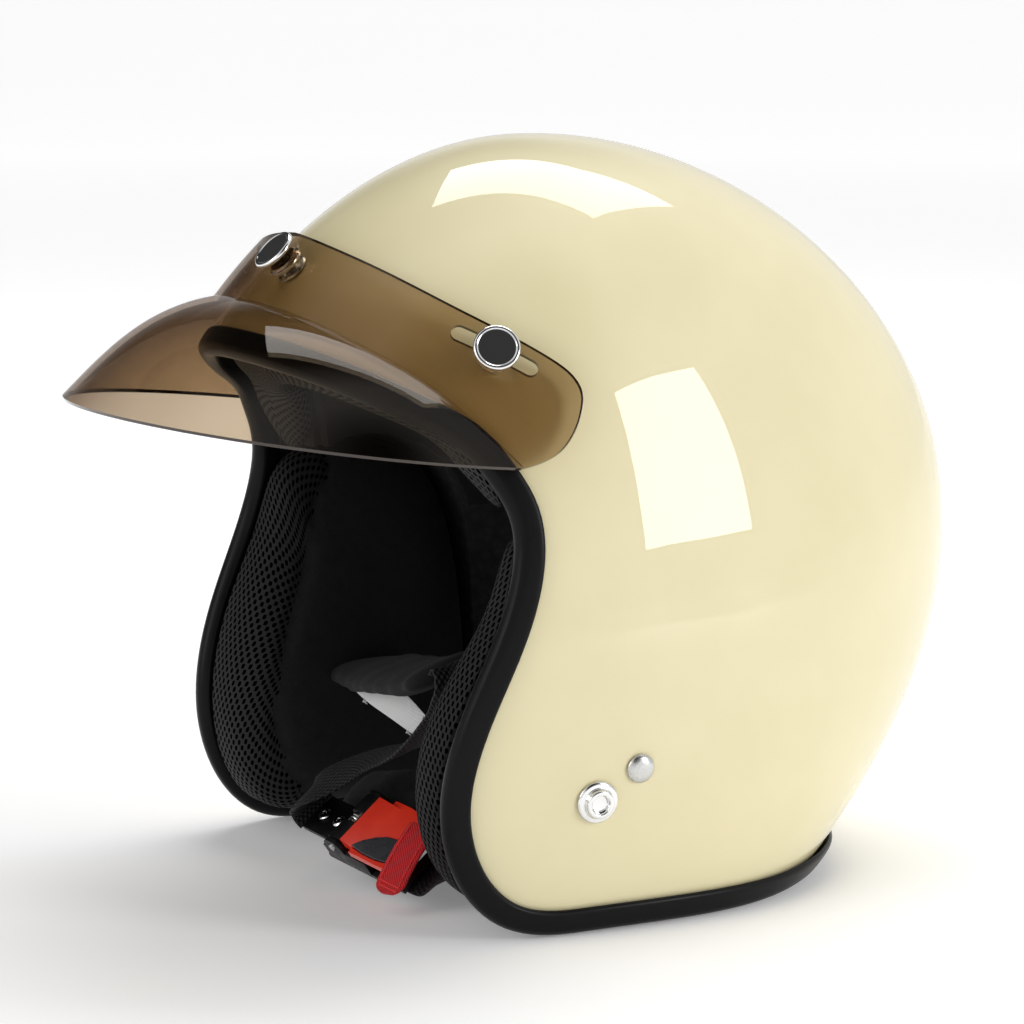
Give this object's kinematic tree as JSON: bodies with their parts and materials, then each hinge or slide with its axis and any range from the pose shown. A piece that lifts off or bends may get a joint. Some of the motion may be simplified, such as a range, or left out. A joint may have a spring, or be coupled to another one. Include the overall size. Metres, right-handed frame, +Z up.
{
  "type": "open face motorcycle helmet",
  "caption": "Open-face motorcycle helmet with a short smoked peak held by press studs, rubber edge trim, padded lining and a chin strap closed by a ratchet buckle.",
  "frame": {"origin": "centre of the bounding box on the plane the helmet stands on", "axes": "+Z up, -Y the way the wearer looks, +X the wearer's left"},
  "size_m": [0.2326, 0.3367, 0.2684],
  "materials": {
    "shell": "glossy cream paint",
    "trim": "satin",
    "foam": "matte moulded bead foam",
    "lining": "brushed cloth",
    "spacer_mesh": "open three-dimensional knit",
    "smoked": "polished transparent",
    "metal": "polished",
    "webbing": "plain weave",
    "label": "satin weave",
    "black_plastic": "fine texture",
    "red_plastic": "satin",
    "grey_plastic": "satin",
    "red_cloth": "woven ribbon",
    "steel": "satin"
  },
  "bodies": {
    "helmet": {"outer_shell": "shell", "edge_trim": "trim", "eps_liner": "foam", "crown_liner": "lining", "brow_pad": "spacer_mesh", "neck_roll": "lining", "cheek_pad_left": "lining", "cheek_pad_right": "lining", "snap_stud_left": "metal", "snap_stud_right": "metal", "snap_stud_centre": "metal", "ring_snap_left": "metal", "ring_snap_right": "metal", "strap_rivet_left": "metal", "rivet_washer_left": "steel", "anchor_plate_left": "steel", "strap_rivet_right": "metal", "rivet_washer_right": "steel", "anchor_plate_right": "steel", "strap_sleeve": "lining", "webbing_right": "webbing", "webbing_left": "webbing", "label": "label"},
    "peak": {"snap_socket_left": "metal", "snap_cap_left": "metal", "snap_socket_right": "metal", "snap_cap_right": "metal", "snap_socket_centre": "metal", "snap_cap_centre": "metal", "peak": "smoked"},
    "chin_strap": {"strap_pad": "lining", "buckle_frame": "black_plastic", "lever_pin": "steel"},
    "lever": {"buckle_lever": "red_plastic", "lever_insert": "grey_plastic", "pawl": "black_plastic", "lever_spring": "steel", "pull_tab": "red_cloth"},
    "tongue": {"ratchet_strap": "black_plastic", "tongue_rivet_1": "metal", "tongue_rivet_2": "metal"}
  },
  "joints": [
    {"name": "peak_unsnap", "type": "slide", "parent": "helmet", "child": "peak", "axis": [0, -0.7166, 0.6975], "range_m": [0, 0.012]},
    {"name": "strap_swing", "type": "hinge", "parent": "helmet", "child": "chin_strap", "pos_m": [0, -0.01515, 0.0592], "axis": [-1, 0, 0], "range_deg": [0, 18], "deforming": ["webbing_left", "webbing_right", "strap_sleeve", "label"]},
    {"name": "lever_open", "type": "hinge", "parent": "chin_strap", "child": "lever", "pos_m": [0.00416, -0.06853, 0.0234], "axis": [0.0599, -0.7884, -0.6123], "range_deg": [0, 30], "stiffness_Nm_per_rad": 0.05},
    {"name": "tongue_slide", "type": "slide", "parent": "chin_strap", "child": "tongue", "axis": [0.981, 0.16, -0.11], "range_m": [-0.01, 0.005], "deforming": ["webbing_right"]}
  ]
}
